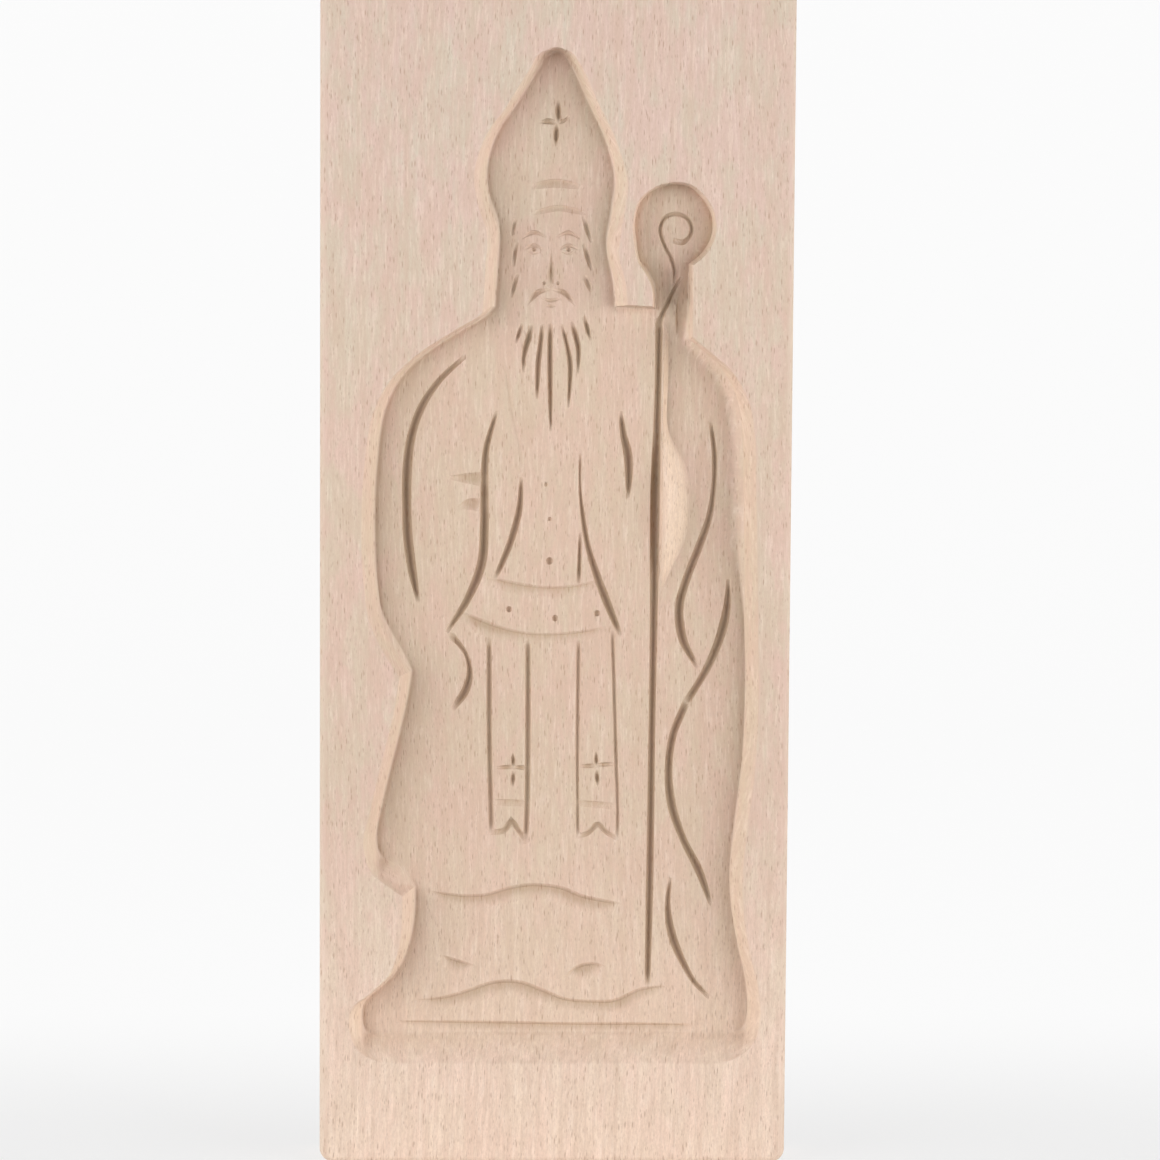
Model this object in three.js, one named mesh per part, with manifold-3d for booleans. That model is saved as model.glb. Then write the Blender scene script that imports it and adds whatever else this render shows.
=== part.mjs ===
// A carved wooden cookie mould: one solid beech board with a bishop figure sunk into its face.
// Dough is pressed into the sunk figure and knocked out again. Millimetres, +Z up.
// The board stands upright with its carved face towards -Y, its foot centred on the origin.

import * as THREE from "three";
import { mergeVertices } from "three/addons/utils/BufferGeometryUtils.js";
import Module from "manifold-3d";

// The sunk figure, measured on its flat floor
const figureWidth = 100;
const figureHeight = 256;
const pocketDepth = 6;
const wallRun = 3; // how far a pocket wall leans outwards on its way up to the face

// The plain wood around and behind the figure
const leftRim = 7.5;
const rightRim = 6.5;
const topRim = 22;
const bottomRim = 26;
const backThickness = 14;
const edgeRadius = 1.8; // rounding between the board's faces and its edges
const faceCornerRadius = 1.7; // corners of the flat face, inside the rounded edge

// The carver's knife and gouge
const cutSlope = 1.25; // depth of a V cut over half of its width
const rampSlope = 0.4; // rise of the wood left standing between the arm and the staff
const beadRadius = 1.1; // round notches along the sash
const buttonRadius = 1.5; // the lowest round notch down the robe
const studRadius = 0.8; // the smaller ones above it

// The face is laid out by drawing-book proportions: the eyes lie halfway up the head, the base of
// the nose halfway from there to the chin, the mouth a third of the way further down, and the eyes
// are one eye's width apart. Heights are counted from the figure's foot.
const headTop = 224;
const chin = 188;
const eyeWidth = 4.4;
const faceMiddle = -2; // across, from the figure's middle
const pupilRadius = 0.65;
const nostrilRadius = 0.5;
const noseWidth = 2.4;

// The figure is drawn on a grid of this many squares, counted from its foot's middle
const gridColumns = 100;
const gridRows = 256;

// Fineness of the faceted model
const outlineStep = 3; // length of a facet along the outline
const cutStepsPerSpan = 2; // facets of a V cut between two of its drawn points
const edgeFacets = 4;
const cornerFacets = 6;
const notchSides = 12;
const sharpTurn = Math.PI / 9; // at an inner corner sharper than this, two walls cross
const overshoot = 1; // cutters reach this far past the surface that they cut
const overlap = 0.3; // neighbouring cutters share this much
const weldDistance = 1e-4; // corners closer than this are one

const boardWidth = leftRim + wallRun + figureWidth + wallRun + rightRim;
const boardHeight = bottomRim + wallRun + figureHeight + wallRun + topRim;
const boardThickness = pocketDepth + backThickness;
const cornerRadius = faceCornerRadius + edgeRadius;
const figureMiddle = (leftRim - rightRim) / 2;
const figureFoot = bottomRim + wallRun;

// The outline of the pocket's floor, in grid squares, counter-clockwise, corner to corner
const headOutline = [
  [14.5, 191.5], [14, 198], [12.3, 207], [13.5, 216], [14.2, 224], [11.7, 234], [7, 244], [3, 252.5],
  [1, 255.3], [-1, 256], [-3.5, 255], [-6, 251], [-12, 241.5], [-15.5, 236.5], [-18, 230],
  [-18.7, 224], [-17.8, 218], [-15.6, 211], [-15.8, 202], [-16.5, 191.5],
];
const leftArmOutline = [
  [-16.5, 191.5], [-19, 189], [-26.5, 184.5], [-34, 179.5], [-40.5, 173], [-44.5, 164.5],
  [-46.5, 150], [-47, 135], [-46.4, 121], [-45, 112], [-41.5, 104.5], [-37.4, 98],
];
const leftSleeveOutline = [
  [-37.4, 98], [-38.6, 90.5], [-41, 80], [-44.7, 64.5], [-46.4, 55], [-45.2, 49], [-42, 46], [-36.3, 42],
];
const leftHemOutline = [
  [-36.3, 42], [-36.7, 33.5], [-38.2, 26], [-41, 20.2], [-45.7, 15.5], [-49.3, 12], [-50, 8],
  [-48.8, 3], [-45, 0.5], [-40, 0],
];
const footOutline = [[-40, 0], [39, 0]];
const rightSideOutline = [
  [39, 0], [44.5, 0.8], [48.5, 3.8], [50, 9], [49.4, 18], [47.4, 27], [45.6, 37], [45.1, 46],
  [46.3, 59.5], [48, 75], [48.7, 95], [48.3, 112], [47.6, 145], [46.8, 160], [44.8, 168.5],
  [41.2, 175.2], [33.5, 183.5],
];
const neckOutline = [[33.5, 183.5], [33.4, 202.5]];
const crookOutline = [
  [33.4, 202.5], [36.5, 205.5], [38.6, 209.5], [38.7, 214.5], [36.5, 218.7], [33, 221.8],
  [29, 222.4], [24, 221], [20.5, 217.8], [19.3, 213], [19.6, 208.5], [20.5, 203.5], [23, 199.5],
  [24.3, 196], [24.5, 191],
];
const rightShoulderOutline = [[24.5, 191], [14.5, 191.5]];

// V cuts in the pocket's floor: drawn points, widths at the start, the fullest place and the end,
// and how far along the cut that fullest place is
const crozierCuts = [
  { path: [[25.5, 187], [25.2, 168], [24.8, 150], [24.8, 127], [24.5, 65], [24, 17]],
    widths: [2.4, 3.5, 2.3], fullAt: 0.27 },
  { path: [[29, 207.5], [31, 207], [33, 208], [34, 211], [32.5, 214], [29.5, 215.2], [26.5, 214],
      [25.5, 211], [26.5, 206.5], [28.5, 203], [29.6, 199], [28, 193.5], [26, 189.5], [25.5, 186.5]],
    widths: [1.6, 2, 2.2] },
];
const capeCuts = [
  { path: [[-24.5, 178.5], [-28.5, 175], [-32.7, 170.5], [-35.5, 165.5], [-38, 157], [-38.7, 147],
      [-38.5, 134], [-37.5, 124.5], [-36, 116]],
    widths: [0.8, 3, 0.4], fullAt: 0.6 },
  { path: [[-15.5, 164], [-17.5, 159.5], [-18.6, 153], [-18.6, 137], [-19, 127], [-20.8, 121],
      [-24.8, 113.7], [-28.4, 108.5]],
    widths: [1.2, 3, 0.8], fullAt: 0.5 },
  { path: [[-27, 107], [-24, 104], [-22, 99.5], [-22, 95], [-24.3, 91], [-26.3, 88.5]],
    widths: [1.2, 2.6, 1.4] },
  { path: [[16.1, 164.4], [16.6, 160.5], [18.3, 153.5], [18.4, 148], [18.1, 143]],
    widths: [0.8, 2.8, 0.4], fullAt: 0.55 },
  { path: [[39.4, 161.7], [40.3, 153.5], [40.2, 146], [39, 138], [36.5, 131], [33.4, 122.7],
      [31.4, 115], [32.4, 106.2], [36, 99.5]],
    widths: [1.2, 3, 0.9], fullAt: 0.75 },
  { path: [[44.1, 121.4], [43.8, 114.7], [42.4, 108], [38, 97.4], [33.5, 90]],
    widths: [0.9, 3.3, 2], fullAt: 0.4 },
  { path: [[33.5, 90], [30.2, 82], [29.1, 72], [30, 63], [32.6, 55], [36.3, 48], [40.5, 38]],
    widths: [2, 2.9, 0.4], fullAt: 0.75 },
  { path: [[29.6, 44], [28.9, 37.5], [29.8, 30.7], [32.5, 23.8], [36, 17.5], [40, 13.5]],
    widths: [0.9, 2.9, 0.6], fullAt: 0.4 },
];
const handCuts = [
  { path: [[-27.5, 148], [-19.5, 148.3]], widths: [0.5, 1.6, 2.2], fullAt: 0.7 },
  { path: [[-25.2, 140.5], [-23, 141.7], [-20, 141.2]], widths: [0.8, 1.8, 1.2] },
];
const robeCuts = [
  { path: [[-14, 175.5], [-10.2, 157.5], [-9.1, 144.5], [-11.6, 133], [-16, 122.5]],
    widths: [0.4, 2.2, 0.6], fullAt: 0.6 },
  { path: [[5.7, 153.5], [6, 143.5], [8.5, 129], [11.7, 119.7], [16.5, 108]],
    widths: [0.4, 2.2, 1.2], fullAt: 0.6 },
  { path: [[5.8, 133.3], [5.6, 121]], widths: [0.6, 1.4, 0.6] },
  { path: [[-17.7, 121.4], [-10.8, 120], [-3, 119], [3.5, 119], [10.5, 120.5]], widths: [0.4, 1.2, 0.4] },
  { path: [[-24.8, 112], [-17, 109.3], [-10.5, 108], [-3, 107.3], [4, 108], [12, 109.2]],
    widths: [0.8, 1.7, 0.8] },
];
const stoleCuts = [
  { path: [[-17.4, 105.7], [-16.7, 56.3]], widths: [1.8, 2.2, 1.8] },
  { path: [[-7.6, 106], [-7.2, 54]], widths: [1.8, 2.2, 1.8] },
  { path: [[5.3, 105.5], [5.5, 55.2]], widths: [1.6, 1.9, 1.5] },
  { path: [[14.2, 108.2], [15.1, 86.7], [15.9, 64.7], [15.8, 55.2]], widths: [1.6, 1.9, 1.5] },
  { path: [[-16.7, 56.3], [-14, 56.6], [-12.6, 57.6], [-11.6, 59.4], [-10.2, 58], [-7.2, 54]],
    widths: [1.2, 1.4, 1.2] },
  { path: [[5.5, 55.2], [8.9, 56.7], [10.9, 58.9], [12.5, 57.4], [15.8, 55.2]], widths: [1.2, 1.4, 1.2] },
  { path: [[-11, 76.4], [-11, 68.6]], widths: [0.5, 1.5, 0.5] },
  { path: [[-15, 73], [-7, 73]], widths: [0.5, 1.3, 0.5] },
  { path: [[10.4, 76.9], [10.7, 68.7]], widths: [0.5, 1.5, 0.5] },
  { path: [[6, 73.4], [14.4, 73.7]], widths: [0.5, 1.3, 0.5] },
  { path: [[-15.2, 64.3], [-8.5, 64.3]], widths: [0.4, 0.8, 0.4] },
  { path: [[6.7, 63.8], [13.3, 63.7]], widths: [0.4, 0.8, 0.4] },
];
const hemCuts = [
  { path: [[-32.3, 41], [-25, 39.6], [-18.5, 39.4], [-10.7, 41.9], [-5, 42.6], [1, 42.2], [7.9, 39.7],
      [16.7, 38.4]],
    widths: [1.2, 2.3, 0.8] },
  { path: [[-29.4, 24.2], [-26, 22.4], [-21.4, 20.8]], widths: [0.6, 1.9, 0.6] },
  { path: [[3.2, 19.2], [6, 21], [9, 21.7], [12.7, 21.6]], widths: [0.5, 1.9, 0.6] },
  { path: [[-35.3, 12.4], [-27.8, 13.2], [-21.9, 15.3], [-15, 17.5], [-9.5, 17.4], [-3.8, 15.3],
      [1.6, 12.8], [8.6, 11.6], [14.9, 11.7], [20.3, 14.3], [28.3, 16]],
    widths: [0.9, 2.2, 1] },
  { path: [[-40, 7], [35, 6]], widths: [1.4, 2.2, 1] },
];
const beardCuts = [
  { path: [[-9.6, 186.7], [-10.6, 182.3]], widths: [0.5, 1.6, 0.5] },
  { path: [[-7, 186.3], [-8.8, 179], [-8.8, 175]], widths: [0.7, 2, 0.5] },
  { path: [[-4.3, 186.4], [-5.3, 175.5], [-5.4, 168.3]], widths: [0.7, 2, 0.5] },
  { path: [[-2.1, 186.6], [-1.9, 160]], widths: [0.7, 2.1, 0.5] },
  { path: [[0.4, 186.4], [2.8, 177], [2.8, 162.3]], widths: [0.7, 2, 0.5] },
  { path: [[3, 187], [5.1, 181], [5, 174.8]], widths: [0.7, 2, 0.5] },
  { path: [[6.2, 188.5], [8, 183.2]], widths: [0.5, 1.7, 0.5] },
];
const hairCuts = [
  { path: [[-11.4, 213.3], [-12.1, 209.8]], widths: [0.5, 1.5, 0.5] },
  { path: [[-10.9, 207.2], [-11.7, 201.9]], widths: [0.5, 1.6, 0.5] },
  { path: [[-10.8, 199.2], [-12, 194]], widths: [0.5, 1.6, 0.5] },
  { path: [[6.2, 213.9], [8.2, 208.3]], widths: [0.5, 1.6, 0.5] },
  { path: [[6.4, 207], [8.4, 201.2]], widths: [0.5, 1.6, 0.5] },
  { path: [[6.6, 198.9], [7.9, 195.5]], widths: [0.5, 1.5, 0.5] },
];
const mitreCuts = [
  { path: [[-1, 243], [-1, 232.8]], widths: [0.4, 2.2, 0.4] },
  { path: [[-4, 238.1], [2, 238.1]], widths: [0.4, 1.8, 0.4] },
  { path: [[-6.7, 222.2], [-0.4, 223.2], [6.2, 222.1]], widths: [0.4, 2.8, 0.4] },
  { path: [[-6.7, 215.2], [-0.1, 216.5], [6.5, 215.3]], widths: [0.5, 1.9, 0.5] },
];

// Cuts of half of the face, mirrored for the other half, and those on its middle. Their points are
// counted in eye widths out from the middle and in grid squares up from the line that is named.
const eyeLine = (headTop + chin) / 2;
const noseBase = (eyeLine + chin) / 2;
const mouthLine = noseBase - (noseBase - chin) / 3;
const halfFaceCuts = [
  { line: eyeLine, path: [[0.35, 3.1], [1, 4.2], [1.65, 2.7]], widths: [0.5, 1.1, 0.4] },
  { line: eyeLine, path: [[0.5, -0.1], [1, 1], [1.5, 0]], widths: [0.4, 1, 0.4] },
  { line: eyeLine, path: [[0.6, -0.7], [1, -1.2], [1.4, -0.6]], widths: [0.3, 0.6, 0.3] },
  { line: noseBase, path: [[0.12, -1.3], [0.75, -2], [1.35, -5]], widths: [0.6, 1.5, 0.5] },
];
const midFaceCuts = [
  { line: noseBase, path: [[0, eyeLine - noseBase], [0, 0]], widths: [0.6, noseWidth, 1.8], fullAt: 0.85 },
  { line: mouthLine, path: [[-0.5, -0.6], [0, -1.1], [0.5, -0.6]], widths: [0.4, 1, 0.4] },
  { line: mouthLine, path: [[-0.25, -2.5], [0.25, -2.5]], widths: [0.3, 0.9, 0.3] },
];
const pupil = { line: eyeLine, place: [1, -0.1] };
const nostril = { line: noseBase, place: [0.4, 0.3] };

// The ramp's foot, where it meets the floor, and the column of its back's foot beside the staff
const rampFoot = [
  [28, 160.5], [31.5, 153.2], [33.6, 147.3], [34, 141], [33.6, 134.5], [31, 128.6], [28, 122.8],
];
const rampBack = 26.6;

const beads = [[-12.6, 114.5], [-0.7, 112.6], [10.3, 113]];
const buttons = [[-2, 126.4]];
const studs = [[-2, 137.2], [-3, 146]];

const wasm = await Module();
wasm.setup();

// A closed geometry as a solid for joining and cutting
function solidOf(geometry) {
  const bare = geometry.clone();
  bare.deleteAttribute("normal");
  bare.deleteAttribute("uv");
  const merged = mergeVertices(bare, weldDistance);
  const vertProperties = new Float32Array(merged.attributes.position.array);
  const triVerts = new Uint32Array(merged.index.array);
  return new wasm.Manifold(new wasm.Mesh({ numProp: 3, vertProperties, triVerts }));
}

function geometryOf(solid) {
  const { vertProperties, triVerts } = solid.getMesh();
  const geometry = new THREE.BufferGeometry();
  geometry.setAttribute("position", new THREE.BufferAttribute(vertProperties, 3));
  geometry.setIndex(new THREE.BufferAttribute(triVerts, 1));
  return geometry;
}

function joined(solids) {
  return solids.reduce((whole, piece) => whole.add(piece));
}

// A grid point as millimetres, seen from the front, X from the board's middle and Y from its foot
function onBoard([column, row]) {
  const x = figureMiddle + (column * figureWidth) / gridColumns;
  const y = figureFoot + (row * figureHeight) / gridRows;
  return new THREE.Vector3(x, y, 0);
}

function curveThrough(points) {
  return new THREE.CatmullRomCurve3(points.map(onBoard), false, "centripetal");
}

// A closed solid from rings of equally many points, each ring convex and turning clockwise as seen
// by someone who looks along the row of rings
function loft(rings) {
  const count = rings[0].length;
  const corners = [];
  const triangle = (a, b, c) => corners.push(a, b, c);
  for (let i = 0; i + 1 < rings.length; i++) {
    for (let j = 0; j < count; j++) {
      const k = (j + 1) % count;
      triangle(rings[i][j], rings[i][k], rings[i + 1][k]);
      triangle(rings[i][j], rings[i + 1][k], rings[i + 1][j]);
    }
  }
  const first = rings[0];
  const last = rings[rings.length - 1];
  for (let j = 1; j + 1 < count; j++) {
    triangle(first[0], first[j + 1], first[j]);
    triangle(last[0], last[j], last[j + 1]);
  }
  return solidOf(new THREE.BufferGeometry().setFromPoints(corners));
}

// The board lies on its back while it is carved: Z is 0 on the pocket's floor
function makeBoard() {
  const left = -boardWidth / 2 + cornerRadius;
  const right = boardWidth / 2 - cornerRadius;
  const low = cornerRadius;
  const high = boardHeight - cornerRadius;
  const outline = new THREE.Shape();
  outline.absarc(right, low, cornerRadius, -Math.PI / 2, 0);
  outline.absarc(right, high, cornerRadius, 0, Math.PI / 2);
  outline.absarc(left, high, cornerRadius, Math.PI / 2, Math.PI);
  outline.absarc(left, low, cornerRadius, Math.PI, 1.5 * Math.PI);
  const geometry = new THREE.ExtrudeGeometry(outline, {
    depth: boardThickness - 2 * edgeRadius,
    bevelThickness: edgeRadius,
    bevelSize: edgeRadius,
    bevelOffset: -edgeRadius,
    bevelSegments: edgeFacets,
    curveSegments: cornerFacets,
  });
  geometry.translate(0, 0, edgeRadius - backThickness);
  return solidOf(geometry);
}

// The floor's outline as a polygon, each drawn stretch cut into facets
function floorPolygon() {
  const stretches = [
    headOutline,
    leftArmOutline,
    leftSleeveOutline,
    leftHemOutline,
    footOutline,
    rightSideOutline,
    neckOutline,
    crookOutline,
    rightShoulderOutline,
  ];
  return stretches.flatMap((points) => {
    const curve = curveThrough(points);
    const facets = Math.max(1, Math.round(curve.getLength() / outlineStep));
    return curve.getSpacedPoints(facets).slice(0, -1);
  });
}

// The leaning wall beyond one side of the floor's polygon, as the space that the carver clears
function wallSpace(polygon, index) {
  const count = polygon.length;
  const outwards = (i) => {
    const side = polygon[(i + 1) % count].clone().sub(polygon[i % count]);
    return new THREE.Vector3(side.y, -side.x, 0).normalize();
  };
  const own = outwards(index);
  // Two walls meet on their mitre, and at a sharp inner corner each goes its own way
  const mitre = (other, before, after) => {
    const crossing = before.clone().cross(after).z < -Math.sin(sharpTurn);
    return crossing ? own : own.clone().add(other).divideScalar(1 + own.dot(other));
  };
  const before = outwards(index + count - 1);
  const after = outwards(index + 1);
  const mouth = pocketDepth + overshoot;
  const reach = (wallRun * mouth) / pocketDepth;
  const ring = (corner, across) => {
    const at = (offset, height) => {
      const point = corner.clone().addScaledVector(across, offset);
      point.z = height;
      return point;
    };
    return [at(-overlap, mouth), at(reach, mouth), at(0, 0), at(-overlap, 0)];
  };
  const start = ring(polygon[index], mitre(before, before, own));
  const end = ring(polygon[(index + 1) % count], mitre(after, own, after));
  return loft([start, end]);
}

// The wood left standing between the arm and the staff: it climbs from its foot towards the staff
function ramp() {
  const foot = curveThrough(rampFoot);
  const back = onBoard([rampBack, 0]).x;
  const rings = foot.getPoints(rampFoot.length * cutStepsPerSpan).map((point) => {
    const ridge = (back * cutSlope + point.x * rampSlope) / (cutSlope + rampSlope);
    return [
      new THREE.Vector3(ridge, point.y, (ridge - back) * cutSlope),
      new THREE.Vector3(back - overshoot / cutSlope, point.y, -overshoot),
      new THREE.Vector3(point.x + overshoot / rampSlope, point.y, -overshoot),
    ];
  });
  return loft(rings);
}

function makePocket() {
  const polygon = floorPolygon();
  const floor = new THREE.Shape(polygon.map((point) => new THREE.Vector2(point.x, point.y)));
  const core = new THREE.ExtrudeGeometry(floor, { depth: pocketDepth + overshoot, bevelEnabled: false });
  const walls = polygon.map((point, index) => wallSpace(polygon, index));
  return joined([solidOf(core), ...walls]).subtract(ramp());
}

// A V cut along a drawn path, wide and deep where the knife was pressed hardest
function cut({ path, widths, fullAt = 0.5 }) {
  const [start, full, end] = widths;
  const curve = curveThrough(path);
  const steps = Math.max(2, path.length - 1) * cutStepsPerSpan;
  const rings = [];
  for (let i = 0; i <= steps; i++) {
    const along = i / steps;
    const rise = Math.min(along / fullAt, (1 - along) / (1 - fullAt));
    const from = along < fullAt ? start : end;
    const width = from + (full - from) * Math.sin((rise * Math.PI) / 2);
    const centre = curve.getPointAt(along);
    const heading = curve.getTangentAt(along);
    const half = width / 2;
    const top = half + overshoot / cutSlope;
    const at = (offset, height) =>
      new THREE.Vector3(centre.x - heading.y * offset, centre.y + heading.x * offset, height);
    rings.push([at(-top, overshoot), at(0, -half * cutSlope), at(top, overshoot)]);
  }
  return loft(rings);
}

// A round notch, a cone on its point
function notch(place, radius) {
  const depth = radius * cutSlope;
  const scale = (depth + overshoot) / depth;
  const cone = new THREE.ConeGeometry(radius * scale, depth + overshoot, notchSides);
  cone.rotateX(-Math.PI / 2);
  const centre = onBoard(place);
  cone.translate(centre.x, centre.y, (overshoot - depth) / 2);
  return solidOf(cone);
}

// A point of the face on the grid, on one side of its middle, -1 or 1
function inFace(side, line, [eyesOut, up]) {
  return [faceMiddle + side * eyesOut * eyeWidth, line + up];
}

function faceCuts() {
  const drawn = (side) => ({ line, path, ...rest }) => ({
    path: path.map((point) => inFace(side, line, point)),
    ...rest,
  });
  return [...halfFaceCuts.map(drawn(-1)), ...halfFaceCuts.map(drawn(1)), ...midFaceCuts.map(drawn(1))];
}

function faceNotches() {
  return [-1, 1].flatMap((side) => [
    notch(inFace(side, pupil.line, pupil.place), pupilRadius),
    notch(inFace(side, nostril.line, nostril.place), nostrilRadius),
  ]);
}

function makeCarving() {
  const cuts = [
    ...crozierCuts,
    ...capeCuts,
    ...handCuts,
    ...robeCuts,
    ...stoleCuts,
    ...hemCuts,
    ...beardCuts,
    ...hairCuts,
    ...mitreCuts,
    ...faceCuts(),
  ];
  const notches = [
    ...beads.map((place) => notch(place, beadRadius)),
    ...buttons.map((place) => notch(place, buttonRadius)),
    ...studs.map((place) => notch(place, studRadius)),
    ...faceNotches(),
  ];
  return joined([...cuts.map(cut), ...notches]);
}

const carved = makeBoard().subtract(makePocket()).subtract(makeCarving());
const beech = new THREE.MeshStandardMaterial({ color: 0xd9c0ac, roughness: 0.62, metalness: 0 });
const mouldBoard = new THREE.Mesh(geometryOf(carved), beech);
mouldBoard.name = "mould_board";
mouldBoard.rotation.x = Math.PI / 2;
mouldBoard.position.y = (pocketDepth - backThickness) / 2;

const mould = new THREE.Group();
mould.add(mouldBoard);

export default mould;
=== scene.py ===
"""A carved beech cookie mould: the finished look of the board, its stage, its light and its camera.

The board is one closed mesh. Its front is a relief, triangulated along the drawn outline of the sunk
figure and along the drawn cuts, and every point's height comes from its distances to those lines.
Drawn points and sizes are in millimetres, X from the figure's middle and Z from the figure's foot.
"""

import math

import bpy
import numpy as np
from mathutils import Matrix, Vector
from mathutils.geometry import delaunay_2d_cdt
from mathutils.kdtree import KDTree


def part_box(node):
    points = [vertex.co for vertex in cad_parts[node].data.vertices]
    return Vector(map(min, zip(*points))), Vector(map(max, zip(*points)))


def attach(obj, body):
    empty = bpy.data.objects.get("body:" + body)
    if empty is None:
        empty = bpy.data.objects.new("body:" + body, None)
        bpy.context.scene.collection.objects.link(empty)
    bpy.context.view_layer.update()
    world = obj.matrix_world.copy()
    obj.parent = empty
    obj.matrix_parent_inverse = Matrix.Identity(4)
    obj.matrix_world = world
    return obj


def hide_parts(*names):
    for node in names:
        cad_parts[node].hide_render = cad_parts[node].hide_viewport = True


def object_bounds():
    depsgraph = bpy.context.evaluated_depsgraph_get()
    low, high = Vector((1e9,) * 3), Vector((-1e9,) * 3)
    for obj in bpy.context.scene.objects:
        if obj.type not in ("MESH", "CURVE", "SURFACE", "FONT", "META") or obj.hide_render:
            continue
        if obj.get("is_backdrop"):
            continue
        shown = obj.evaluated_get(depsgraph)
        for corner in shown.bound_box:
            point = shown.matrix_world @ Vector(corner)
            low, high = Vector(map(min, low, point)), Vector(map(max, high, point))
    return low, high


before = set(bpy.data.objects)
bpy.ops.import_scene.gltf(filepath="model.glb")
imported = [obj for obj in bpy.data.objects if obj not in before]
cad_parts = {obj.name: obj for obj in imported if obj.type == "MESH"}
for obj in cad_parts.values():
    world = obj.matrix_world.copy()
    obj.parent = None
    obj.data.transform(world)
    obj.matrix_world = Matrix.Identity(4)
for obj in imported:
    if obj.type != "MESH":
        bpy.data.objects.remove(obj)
cad_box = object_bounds()

MM = 0.001
board_low, board_high = (np.array(corner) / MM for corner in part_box("mould_board"))

# The sunk figure's depth, its middle in X and foot in Z, and the board's rounding
pocket_depth = 6
figure_origin = np.array([0.5, 29])
edge_radius = 1.8
face_corner_radius = 1.7

# How far the pocket's walls run from foot to lip: the wide ones round the figure, the narrow ones
# round the crook, what one loses of that where it faces straight down, and the least that is left
wide_wall = 3
narrow_wall = 0.8
loss_facing_down = 2.8
steepest_wall = 0.65

# How softly the walls meet the floor and the face, as heights over which one turns into the other
cove_blend = 0.15
lip_blend = 0.35

# Where a wall faces up, a heel slopes up to it: how many of the wall's runs away it starts, how steep
# it is, and over what length it dies out towards a sharp corner of the outline
heel_reach = 1.33
heel_slope = 0.86
heel_ease = 6

# Beside the walls the floor dips, where it was cleared up to them: how wide the dip is, how deep left
# of the figure's middle, and how deep right of it at heights up the figure
dip_width = 1.6
left_dip = 0.55
right_dips = ((90, 0.1), (160, 0.4))

# In the crook the floor is higher: where that starts on the left, and by how much at what heights
crook_left = 17
crook_rises = ((197, 0), (200, 0.2), (204, 0.7), (207, 0.9))

# The cuts' sections: depth over half width, the power of the section's curve, which is 1 for a V and
# 2 for a round one, and how much of the half width the deepest line is out of the middle, to the left
# of the cut's heading
deep_cut = (1.35, 2, 0)
middle_cut = (1.05, 2, 0)
slanted_cut = (0.45, 1, 0.5)
stroke_cut = (0.6, 1.5, 0.3)
shallow_cut = (0.35, 1, 0)
nose_cut = (0.9, 1, 0)
scooped_cut = (0.4, 2, 0)

# The round pits: depth over radius, and radii
pit_depth = 0.9
bead_radius = 0.85
button_radius = 1
stud_radius = 0.55

# The knife goes in and comes out slowly: over this length, or this share of a short cut, the cut
# deepens from this share of its depth
entry_length = 2.5
entry_share = 0.3
entry_depth = 0.4

# The face, by drawing-book proportions
head_top = 224
chin = 188
eye_width = 4.4
face_middle = -2
pupil_radius = 0.65
nostril_radius = 0.5
nose_width = 2.4
eye_line = (head_top + chin) / 2
nose_base = (eye_line + chin) / 2
mouth_line = nose_base - (nose_base - chin) / 3

# The outline of the pocket's floor, counter-clockwise, corner to corner, with the wall's run
outline_stretches = [
    # head
    (wide_wall,
     [(14.5, 191.5), (14, 198), (12.3, 207), (13.5, 216), (14.2, 224), (11.7, 234), (7, 244), (3, 252.5),
      (1, 255.3), (-1, 256), (-3.5, 255), (-6, 251), (-12, 241.5), (-15.5, 236.5), (-18, 230),
      (-18.7, 224), (-17.8, 218), (-15.6, 211), (-15.8, 202), (-16.5, 191.5)]),
    # left arm
    (wide_wall,
     [(-16.5, 191.5), (-19, 189), (-26.5, 184.5), (-34, 179.5), (-40.5, 173), (-44.5, 164.5),
      (-46.5, 150), (-47, 135), (-46.4, 121), (-45, 112), (-41.5, 104.5), (-37.4, 98)]),
    # left sleeve
    (wide_wall,
     [(-37.4, 98), (-38.6, 90.5), (-41, 80), (-44.7, 64.5), (-46.4, 55), (-45.2, 49), (-42, 46),
      (-36.3, 42)]),
    # left hem
    (wide_wall,
     [(-36.3, 42), (-36.7, 33.5), (-38.2, 26), (-41, 20.2), (-45.7, 15.5), (-49.3, 12), (-50, 8),
      (-48.8, 3), (-45, 0.5), (-40, 0)]),
    # foot
    (wide_wall, [(-40, 0), (39, 0)]),
    # right side
    (wide_wall,
     [(39, 0), (44.5, 0.8), (48.5, 3.8), (50, 9), (49.4, 18), (47.4, 27), (45.6, 37), (45.1, 46),
      (46.3, 59.5), (48, 75), (48.7, 95), (48.3, 112), (47.6, 145), (47.1, 160.2), (45.5, 168.9),
      (41.8, 175.8), (33.2, 183.5)]),
    # neck of the crozier
    (narrow_wall, [(33.2, 183.5), (33.1, 202.5)]),
    # crook
    (narrow_wall,
     [(33.1, 202.5), (36.5, 205.5), (38.6, 209.5), (38.7, 214.5), (36.5, 218.7), (33, 221.8),
      (29, 222.4), (24, 221), (20.5, 217.8), (19.3, 213), (19.6, 208.5), (20.5, 203.5), (23, 199.5),
      (24.3, 196), (24.5, 191)]),
    # right shoulder
    (wide_wall, [(24.5, 191), (14.5, 191.5)]),
]

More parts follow.
